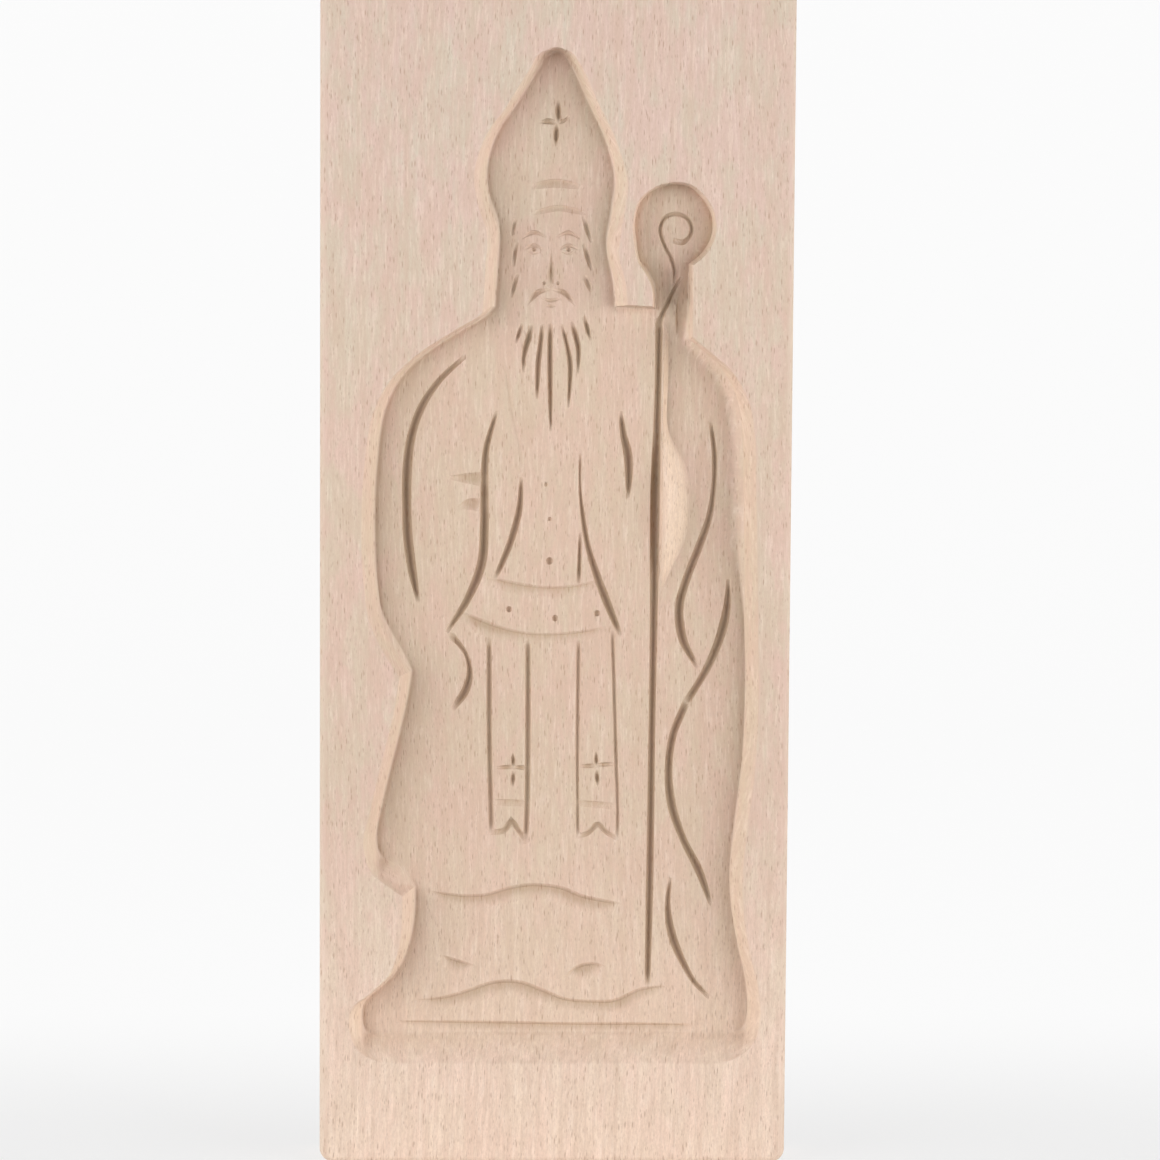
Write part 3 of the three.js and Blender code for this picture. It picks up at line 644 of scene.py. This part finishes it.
class Relief:
    """The carved surface, as heights above the pocket's floor."""

    def __init__(self):
        self.walls = [Wall(run, drawn) for run, drawn in outline_stretches]
        self.ring = np.vstack([wall.foot[:-1] for wall in self.walls])
        self.cuts = [Cut(*drawn) for drawn in all_cuts()]
        self.scoops = [Cut(points, widths, scooped_cut) for points, widths in neck_scoops]
        self.pits = all_pits()
        self.facet_foot = curve_through(facet_foot, cut_step)
        self.corners = []
        for arriving, leaving in zip(self.walls, self.walls[1:] + self.walls[:1]):
            before, after = arriving.outward[-1], leaving.outward[0]
            if before[0] * after[1] - before[1] * after[0] < -sharp_corner:
                self.corners.append((arriving, leaving))
        for wall in self.walls:
            starts = any(leaving is wall for _, leaving in self.corners)
            ends = any(arriving is wall for arriving, _ in self.corners)
            wall.run_on(starts, ends)

    def walls_over(self, points):
        """For each point: the wall's height, below zero over the floor, the heel's height, and the
        distance to the foot."""
        # Before the foot the highest wall counts, and beyond it the lowest
        inner = inside(points, self.ring)
        found = np.zeros((3, len(points)))
        for some, beyond in ((inner, False), (~inner, True)):
            if not some.any():
                continue
            over = np.array([wall.over(points[some], beyond) for wall in self.walls])
            if beyond:
                lowest = over[:, :2].max(1).argmin(0)
                found[:, some] = over[lowest, :, np.arange(len(lowest))].T
            else:
                found[:, some] = over[:, 0].max(0), over[:, 1].max(0), over[:, 2].min(0)
        return found

    def wall_heights(self, points):
        return self.walls_over(points)[0]

    def foot_distances(self, points):
        return self.walls_over(points)[2]

    def facet_share(self, points):
        """How far up the facet beside the staff each point is: 0 at its foot, 1 at its ridge."""
        foot = self.facet_foot[::-1]
        foot_x = np.interp(points[:, 1], foot[:, 1], foot[:, 0])
        return np.clip((foot_x - points[:, 0]) / (foot_x - facet_ridge_x), 0, 1)

    def painted_facet_light(self, points):
        """Painted light on the facet beside the staff: how much paler it is painted, as it faces the
        right lamp.
        """
        share = self.facet_share(points)
        from_foot = np.clip(share / facet_light_foot, 0, 1)
        from_ridge = np.clip((1 - share) / facet_light_ridge, 0, 1)
        return at_heights(points, facet_light_shares) * from_foot * from_ridge

    def floor_heights(self, points):
        """The floor: level but for the facet beside the staff, the hollow right of it and the crook."""
        hollow = -at_heights(points, hollow_depths)
        ridge = at_heights(points, ridge_heights)
        right = hollow + (ridge - hollow) * self.facet_share(points)
        left = np.maximum(ridge - (facet_ridge_x - points[:, 0]) * facet_back_slope, 0)
        floor = np.where(points[:, 0] > facet_ridge_x, right, left)
        return floor + at_heights(points, crook_rises) * (points[:, 0] > crook_left)

    def heights(self, points):
        """The surface's heights, and how deep the cuts in it are."""
        walls, heels, distances = self.walls_over(points)
        dips = at_heights(points, right_dips)
        dips[points[:, 0] < 0] = left_dip
        dips *= (1 - np.clip(distances / dip_width, 0, 1)) ** 2
        floor = np.maximum(self.floor_heights(points) - dips, heels)
        surface = soft_max(floor, walls, cove_blend)
        surface = soft_min(surface, float(pocket_depth), lip_blend)
        depths = np.max([cut.depths(points) for cut in self.cuts], axis=0)
        for place, radius in self.pits:
            share = np.clip(np.linalg.norm(points - np.array(place), axis=1) / radius, 0, 1)
            depths = np.maximum(depths, pit_depth * radius * np.sqrt(1 - share**2))
        scooped = np.max([scoop.depths(points) for scoop in self.scoops], axis=0)
        return surface - np.maximum(depths, scooped), depths

    def corner_creases(self):
        """Lines along which two walls meet, at the outline's sharp corners."""
        for arriving, leaving in self.corners:
            facing = np.array([arriving.outward[-1], leaving.outward[0]])
            lip = np.linalg.solve(facing, [arriving.run[-1], leaving.run[0]])
            yield leaving.foot[0] + np.outer([0, *wall_rows], lip)

    def wall_points(self):
        """Rows up the walls and before them, without the points that another wall is nearer to."""
        for wall in self.walls:
            for row in wall_rows:
                points = wall.foot + wall.outward * (row * wall.run)[:, None]
                yield points[abs(self.wall_heights(points) - row * pocket_depth) < height_match]
            for row in dip_rows:
                points = wall.foot - wall.outward * row
                yield points[abs(self.foot_distances(points) - row) < dip_match]
            for row in heel_rows:
                away = row * wall.heel
                points = wall.foot - wall.outward * away[:, None]
                held = abs(self.foot_distances(points) - away) < heel_match
                yield points[held & (wall.heel > least_heel)]

    def facet_points(self):
        """Rows of points across the facet beside the staff."""
        width = self.facet_foot[:, 0] - facet_ridge_x
        for share in facet_rows:
            yield np.column_stack([facet_ridge_x + width * share, self.facet_foot[:, 1]])

    def pit_points(self):
        """Each round pit's middle, and rings round it."""
        turns = np.arange(pit_rays) * 2 * math.pi / pit_rays
        rays = np.column_stack([np.cos(turns), np.sin(turns)])
        for place, radius in self.pits:
            yield np.array([place])
            for reach in reaches(radius, pit_rows):
                yield place + rays * reach


def rim():
    """The flat front's edge, counter-clockwise as seen from the front, and its outward directions."""
    inset = edge_radius + face_corner_radius
    left, right = board_low[0] + inset, board_high[0] - inset
    low, high = board_low[2] + inset, board_high[2] - inset
    points, outwards = [], []
    corners = (((right, low), -90), ((right, high), 0), ((left, high), 90), ((left, low), 180))
    for (centre, first), (following, _) in zip(corners, corners[1:] + corners[:1]):
        turns = np.radians(first + np.linspace(0, 90, corner_facets + 1))
        directions = np.column_stack([np.cos(turns), np.sin(turns)])
        arc = np.array(centre) + face_corner_radius * directions
        onwards = np.array(following) + face_corner_radius * directions[-1]
        side = spaced(np.array([arc[-1], onwards]), rim_spacing)[1:-1]
        points += [arc, side]
        outwards += [directions, np.repeat(directions[-1:], len(side), axis=0)]
    return np.vstack(points), np.vstack(outwards)


def side_rings():
    """Rings round the board, front to back: how far out from the rim, and at what Y."""
    face_y, back_y = board_low[1], board_high[1]
    turns = np.linspace(0, math.pi / 2, rounding_facets + 1)[1:]
    rounding = [(edge_radius * math.sin(turn), edge_radius * (1 - math.cos(turn))) for turn in turns]
    for reach, depth in rounding:
        yield reach, face_y + depth
    for y in np.linspace(face_y + edge_radius, back_y - edge_radius, side_facets + 1)[1:]:
        yield edge_radius, y
    for reach, depth in rounding[-2::-1]:
        yield reach, back_y - depth
    yield 0, back_y


def on_figure(points):
    """Points of the board, counted from the figure's middle and foot."""
    return points - figure_origin


def grid(low, high, spacing):
    """Points in a triangular pattern."""
    xs = np.arange(low[0], high[0], spacing)
    zs = np.arange(low[1], high[1], spacing * math.sqrt(3) / 2)
    x, z = np.meshgrid(xs, zs)
    x[1::2] += spacing / 2
    return np.column_stack([x.ravel(), z.ravel()])


def apart_from(points, others, gap):
    """The points that keep a gap to all the others."""
    tree = KDTree(len(others))
    for index, (x, z) in enumerate(others.tolist()):
        tree.insert((x, z, 0), index)
    tree.balance()
    keep = [tree.find((x, z, 0))[2] > gap for x, z in points.tolist()]
    return points[keep]


def front_points(relief, edge, fixed):
    """The front's points: the fixed ones, rows along what is drawn, and grids in between."""
    rows = [row for cut in relief.cuts + relief.scoops for row in cut.rows()]
    rows += [*relief.wall_points(), *relief.facet_points(), *relief.pit_points()]
    points = np.vstack([fixed, np.vstack(rows) + figure_origin])
    low, high = edge.min(0), edge.max(0)
    is_fixed = np.arange(len(points)) < len(fixed)
    points = points[is_fixed | ((points > low) & (points < high)).all(1)]
    _, first = np.unique(np.floor(points / closest), axis=0, return_index=True)
    keep = np.arange(len(points)) < len(fixed)
    keep[first] = True
    support = edge - edge_support * np.sign(edge - (low + high) / 2)
    points = np.vstack([points[keep], support])
    coarse = grid(low + front_margin, high - front_margin, face_spacing)
    fine = grid(low + front_margin, high - front_margin, floor_spacing)
    over_floor = relief.wall_heights(on_figure(fine)) < 0
    over_face = relief.wall_heights(on_figure(coarse)) > pocket_depth + lip_blend
    points = np.vstack([points, apart_from(fine[over_floor], points, floor_spacing * floor_gap)])
    return np.vstack([points, apart_from(coarse[over_face], points, face_spacing * face_gap)])


def front_triangles(relief, edge):
    """Triangulates the front. Gives points, triangles, and the index of each point of the edge."""
    drawn = [cut.line for cut in relief.cuts + relief.scoops]
    drawn += [relief.facet_foot, *relief.corner_creases()]
    lines = [edge] + [line + figure_origin for line in drawn]
    points = front_points(relief, edge, np.vstack(lines))
    segments = []
    start = 0
    for line in lines:
        segments += [(index, index + 1) for index in range(start, start + len(line) - 1)]
        start += len(line)
    segments.append((len(edge) - 1, 0))
    vectors = [Vector(point) for point in points.tolist()]
    found, _, triangles, origins, _, _ = delaunay_2d_cdt(vectors, segments, [], 0, weld_distance)
    place_of = {index: place for place, members in enumerate(origins) for index in members}
    found = np.array([tuple(point) for point in found])
    return found, triangles, [place_of[index] for index in range(len(edge))]


def back_triangles(edge):
    """Triangulates the back. Gives the points inside its edge, and triangles that count the edge's
    points before those."""
    low, high = edge.min(0), edge.max(0)
    inner = apart_from(grid(low, high, back_spacing), edge, back_spacing * back_gap)
    inner = inner[((inner > low + back_margin) & (inner < high - back_margin)).all(1)]
    loop = [(i, (i + 1) % len(edge)) for i in range(len(edge))]
    vectors = [Vector(point) for point in np.vstack([edge, inner]).tolist()]
    _, _, triangles, origins, _, _ = delaunay_2d_cdt(vectors, loop, [], 0, weld_distance)
    return inner, [tuple(origins[i][0] for i in face)[::-1] for face in triangles]


def stood_up(flat, y):
    """Flat points in space, at one Y or each at its own."""
    return np.column_stack([flat[:, 0], np.full(len(flat), y), flat[:, 1]])


def linked(name, data):
    """A new object of the scene."""
    made = bpy.data.objects.new(name, data)
    bpy.context.scene.collection.objects.link(made)
    return made


def build_board(material):
    """The board's closed mesh: its front, the rings round its sides, and its back."""
    relief = Relief()
    edge, outwards = rim()
    flat, triangles, ring = front_triangles(relief, edge)
    heights, depths = relief.heights(on_figure(flat))
    vertices = [stood_up(flat, board_low[1] + pocket_depth - heights)]
    faces = list(triangles)
    count = len(edge)
    total = len(flat)
    for reach, y in side_rings():
        vertices.append(stood_up(edge + outwards * reach, y))
        following = range(total, total + count)
        total += count
        for i in range(count):
            j = (i + 1) % count
            faces.append((ring[i], following[i], following[j], ring[j]))
        ring = following
    inner, back = back_triangles(edge)
    vertices.append(stood_up(inner, board_high[1]))
    index_of = [*ring, *range(total, total + len(inner))]
    faces += [tuple(index_of[i] for i in face) for face in back]

    mesh = bpy.data.meshes.new("carved_board")
    vertices = np.vstack(vertices)
    mesh.from_pydata((vertices * MM).tolist(), [], [tuple(face) for face in faces])
    mesh.validate()
    mesh.shade_smooth()
    mesh.set_sharp_from_angle(angle=math.radians(crease_angle))
    mesh.materials.append(material)
    # painted_facet_light is painted light on the facet; cut_depth also sets the cuts' darker tint, partly
    # painted shade
    painted = {"cut_depth": depths, "painted_facet_light": relief.painted_facet_light(on_figure(flat))}
    for name, values in painted.items():
        values = np.append(values, np.zeros(len(vertices) - len(flat)))
        mesh.attributes.new(name, "FLOAT", "POINT").data.foreach_set("value", values)
    return linked("carved_board", mesh)


class Shader:
    """A material's node tree, with short calls for the nodes that it is made of."""

    def __init__(self, name):
        self.material = bpy.data.materials.new(name)
        self.material.use_nodes = True
        self.tree = self.material.node_tree
        self.surface = self.tree.nodes["Principled BSDF"]

    def add(self, kind, inputs, **settings):
        """A new node, with values or other nodes' outputs as its inputs."""
        node = self.tree.nodes.new("ShaderNode" + kind)
        for name, value in settings.items():
            setattr(node, name, value)
        for name, value in inputs.items():
            self.put(node.inputs[name], value)
        return node

    def put(self, socket, value):
        if isinstance(value, bpy.types.NodeSocket):
            self.tree.links.new(value, socket)
        else:
            socket.default_value = value

    def math(self, operation, a, b=0.0):
        return self.add("Math", {0: a, 1: b}, operation=operation).outputs[0]

    def vector(self, operation, a, b):
        return self.add("VectorMath", {0: a, 1: b}, operation=operation).outputs[0]

    def noise(self, place, scales, detail, roughness):
        """Noise that varies by 1 over a length of 1 / scale along each axis."""
        stretched = self.vector("MULTIPLY", place, scales)
        inputs = {"Vector": stretched, "Scale": 1.0, "Detail": detail, "Roughness": roughness}
        return self.add("TexNoise", inputs).outputs

    def spots(self, place, scales, fading, kept):
        """Long spots at random places: 1 in the middle of each spot and 0 between them."""
        stretched = self.vector("MULTIPLY", place, scales)
        cells = self.add("TexVoronoi", {"Vector": stretched, "Scale": 1.0})
        spot = self.fade(cells.outputs["Distance"], *fading)
        chance = self.add("SeparateColor", {0: cells.outputs["Color"]}).outputs[0]
        return self.math("MULTIPLY", spot, self.fade(chance, 1 - kept, 1 - kept + kept_softness))

    def fade(self, value, low, high, to_low=0.0, to_high=1.0):
        """Goes smoothly from to_low to to_high while a value goes from low to high."""
        inputs = {"Value": value, 1: low, 2: high, 3: to_low, 4: to_high}
        return self.add("MapRange", inputs, interpolation_type="SMOOTHSTEP").outputs[0]

    def mix(self, share, a, b):
        """Colour a, with a share of it replaced by colour b."""
        node = self.add("Mix", {}, data_type="RGBA", blend_type="MIX")
        self.put(node.inputs[0], share)
        self.put(node.inputs[6], a)
        self.put(node.inputs[7], b)
        return node.outputs[2]

    def tinted(self, tone, value, span, shares, tint):
        """A tone with a tint over it, whose share fades with a value."""
        return self.mix(self.fade(value, *span, *shares), tone, colour(*tint))


def colour(red, green, blue):
    """A colour given as screen values from 0 to 255, as the light that it stands for (sRGB)."""
    shares = np.array([red, green, blue]) / 255
    light = np.where(shares <= 0.04045, shares / 12.92, ((shares + 0.055) / 1.055) ** 2.4)
    return (*light.tolist(), 1.0)


def beech():
    """Bare flat-sawn beech, as a solid: short ray flecks, soft streaks, mottling; painted light makes it
    paler at the foot, on faces that look sideways and on the facet beside the staff, painted shade makes
    it darker deep in the pocket, and in the cuts darker cut wood and painted shade darken it.
    """
    s = Shader("beech")
    place = s.add("TexCoord", {}).outputs["Object"]
    place = s.vector("MULTIPLY", place, (1 / MM,) * 3)
    drift = s.vector("SUBTRACT", s.noise(place, *drift_noise)["Color"], (0.5, 0.5, 0.5))
    grain = s.vector("ADD", place, s.vector("MULTIPLY", drift, drift_reach))

    sides = s.add("SeparateXYZ", {0: place}).outputs
    height, inwards = sides["Z"], sides["Y"]
    mottle = s.fade(s.noise(grain, *mottle_noise)["Fac"], *mottle_span)
    top, middle, foot = (s.mix(mottle, colour(*first), colour(*second))
                         for first, second in (top_tints, middle_tints, foot_tints_painted_light))
    tone = s.mix(s.fade(height, *top_heights), middle, top)
    # Painted light: towards the foot the tone turns paler, as the board shows brighter there
    tone = s.mix(s.fade(height, *painted_foot_light_heights), foot, tone)

    tone = s.tinted(tone, s.noise(grain, *band_noise)["Fac"], *band_tint)
    tone = s.tinted(tone, s.noise(grain, *streak_noise)["Fac"], *streak_tint)
    # Painted shade: darker and warmer deeper in the pocket
    tone = s.tinted(tone, inwards, *pocket_shade_tint)
    # Painted light: the facet beside the staff is painted paler where it faces the right lamp
    painted_facet_light = s.add("Attribute", {}, attribute_name="painted_facet_light").outputs["Fac"]
    tone = s.mix(painted_facet_light, tone, colour(*facet_light_tint))
    normal = s.add("NewGeometry", {}).outputs["Normal"]
    sideways = s.math("ABSOLUTE", s.add("SeparateXYZ", {0: normal}).outputs["X"])
    # Painted light: faces that look sideways are painted creamier, as the side lamps light them
    tone = s.tinted(tone, sideways, *side_light_tint)

    # On faces that look sideways the fibres are read along Y as well, or they would smear into bands
    shift = s.add("CombineXYZ", {0: s.math("MULTIPLY", sideways, inwards)}).outputs[0]
    lines = s.vector("ADD", grain, shift)
    fibre = s.noise(lines, *fibre_noise)["Fac"]
    tone = s.tinted(tone, fibre, *fibre_tint)
    elsewhere = s.vector("ADD", lines, pale_fibre_offset)
    tone = s.tinted(tone, s.noise(elsewhere, *pale_fibre_noise)["Fac"], *pale_fibre_tint)
    tone = s.tinted(tone, s.noise(lines, *speckle_noise)["Fac"], *speckle_tint)

    flecks = s.spots(grain, *long_flecks)
    shorter = s.spots(grain, *short_flecks)
    flecks = s.math("MAXIMUM", flecks, s.math("MULTIPLY", shorter, short_fleck_share))
    tone = s.mix(s.math("MULTIPLY", flecks, fleck_share), tone, colour(*fleck_tint))
    # Partly painted shade: deeper in a cut the tone is darker, for darker cut wood and for the shade in
    # it
    depth = s.add("Attribute", {}, attribute_name="cut_depth").outputs["Fac"]
    tone = s.tinted(tone, depth, *cut_wood_and_shade_tint)

    s.put(s.surface.inputs["Base Color"], tone)
    s.put(s.surface.inputs["Roughness"], s.fade(fibre, *roughness_span, *roughness_ends))
    raised = s.math("SUBTRACT", s.math("MULTIPLY", fibre, fibre_height), flecks)
    inputs = {"Strength": bump_strength, "Distance": fleck_depth * MM, "Height": raised}
    s.put(s.surface.inputs["Normal"], s.add("Bump", inputs).outputs[0])
    return s.material


def sweep_material():
    """White card. The camera sees it partly as plain white, so that only a soft shadow is left."""
    s = Shader("white_sweep")
    s.put(s.surface.inputs["Base Color"], card_white)
    s.put(s.surface.inputs["Roughness"], card_roughness)
    ray = s.add("LightPath", {}).outputs
    seen = s.math("MAXIMUM", ray["Is Camera Ray"], ray["Is Glossy Ray"])
    seen = s.math("MAXIMUM", seen, ray["Is Transmission Ray"])
    place = s.add("SeparateXYZ", {0: s.add("TexCoord", {}).outputs["Object"]}).outputs
    share = s.math("MULTIPLY", seen, s.fade(place["Y"], *white_span, white_beside, white_behind))
    white = s.add("Emission", {"Color": (1, 1, 1, 1), "Strength": 1.0}).outputs[0]
    shown = s.add("MixShader", {0: share, 1: s.surface.outputs[0], 2: white}).outputs[0]
    s.put(s.tree.nodes["Material Output"].inputs["Surface"], shown)
    return s.material


def build_sweep():
    """The floor that the board stands on, running up into a plain backdrop in one curve."""
    front, bend, radius, top, half, bend_facets = -1.6, 0.9, 0.5, 2.0, 2.2, 16
    turns = np.linspace(0, math.pi / 2, bend_facets + 1)
    profile = [(front, 0.0)]
    profile += [(bend + radius * math.sin(turn), radius * (1 - math.cos(turn))) for turn in turns]
    profile += [(bend + radius, top)]
    vertices = [(x, y, z) for y, z in profile for x in (-half, half)]
    faces = [(i, i + 1, i + 3, i + 2) for i in range(0, len(vertices) - 2, 2)]
    mesh = bpy.data.meshes.new("sweep")
    mesh.from_pydata(vertices, [], faces)
    mesh.shade_smooth()
    mesh.materials.append(sweep_material())
    linked("sweep", mesh)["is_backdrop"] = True


def build_light():
    """Two lamps alike, in front of the board on its left and right, and a faint surround."""
    aside, ahead, up = 0.99, -0.57, 0.3
    width, height, power = 1.0, 0.6, 12.2
    board_middle = Vector((0, 0, 0.16))
    surround = 0.05
    for name, side in (("left_lamp", -1), ("right_lamp", 1)):
        lamp = bpy.data.lights.new(name, "AREA")
        lamp.shape = "RECTANGLE"
        lamp.size, lamp.size_y, lamp.energy = width, height, power
        place = Vector((side * aside, ahead, up))
        holder = linked(name, lamp)
        holder.location = place
        holder.rotation_euler = (board_middle - place).to_track_quat("-Z", "Y").to_euler()
    world = bpy.data.worlds.new("soft_surround")
    world.use_nodes = True
    background = world.node_tree.nodes["Background"].inputs
    background["Color"].default_value = (1, 1, 1, 1)
    background["Strength"].default_value = surround
    bpy.context.scene.world = world


def build_camera():
    """About a metre in front of the board, a little to its left and above its middle."""
    place = (-0.01964, -1.0, 0.23857)
    yaw, pitch, roll = (math.radians(angle) for angle in (1.4956, 5.0502, 0.371))
    camera = bpy.data.cameras.new("camera")
    camera.sensor_fit = "HORIZONTAL"
    camera.sensor_width = 36
    camera.lens = 121.13
    matrix = Matrix.Translation(place)
    for angle, axis in ((-yaw, "Z"), (math.pi / 2 - pitch, "X"), (roll, "Z")):
        matrix = matrix @ Matrix.Rotation(angle, 4, axis)
    holder = linked("camera", camera)
    holder.matrix_world = matrix
    bpy.context.scene.camera = holder


build_camera()
board = build_board(beech())
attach(board, "root")
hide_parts("mould_board")
build_sweep()
build_light()
bpy.context.scene.view_settings.view_transform = "Standard"

boxes = {"cad": cad_box, "visual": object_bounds()}
{name: [list(corner) for corner in box] for name, box in boxes.items()}
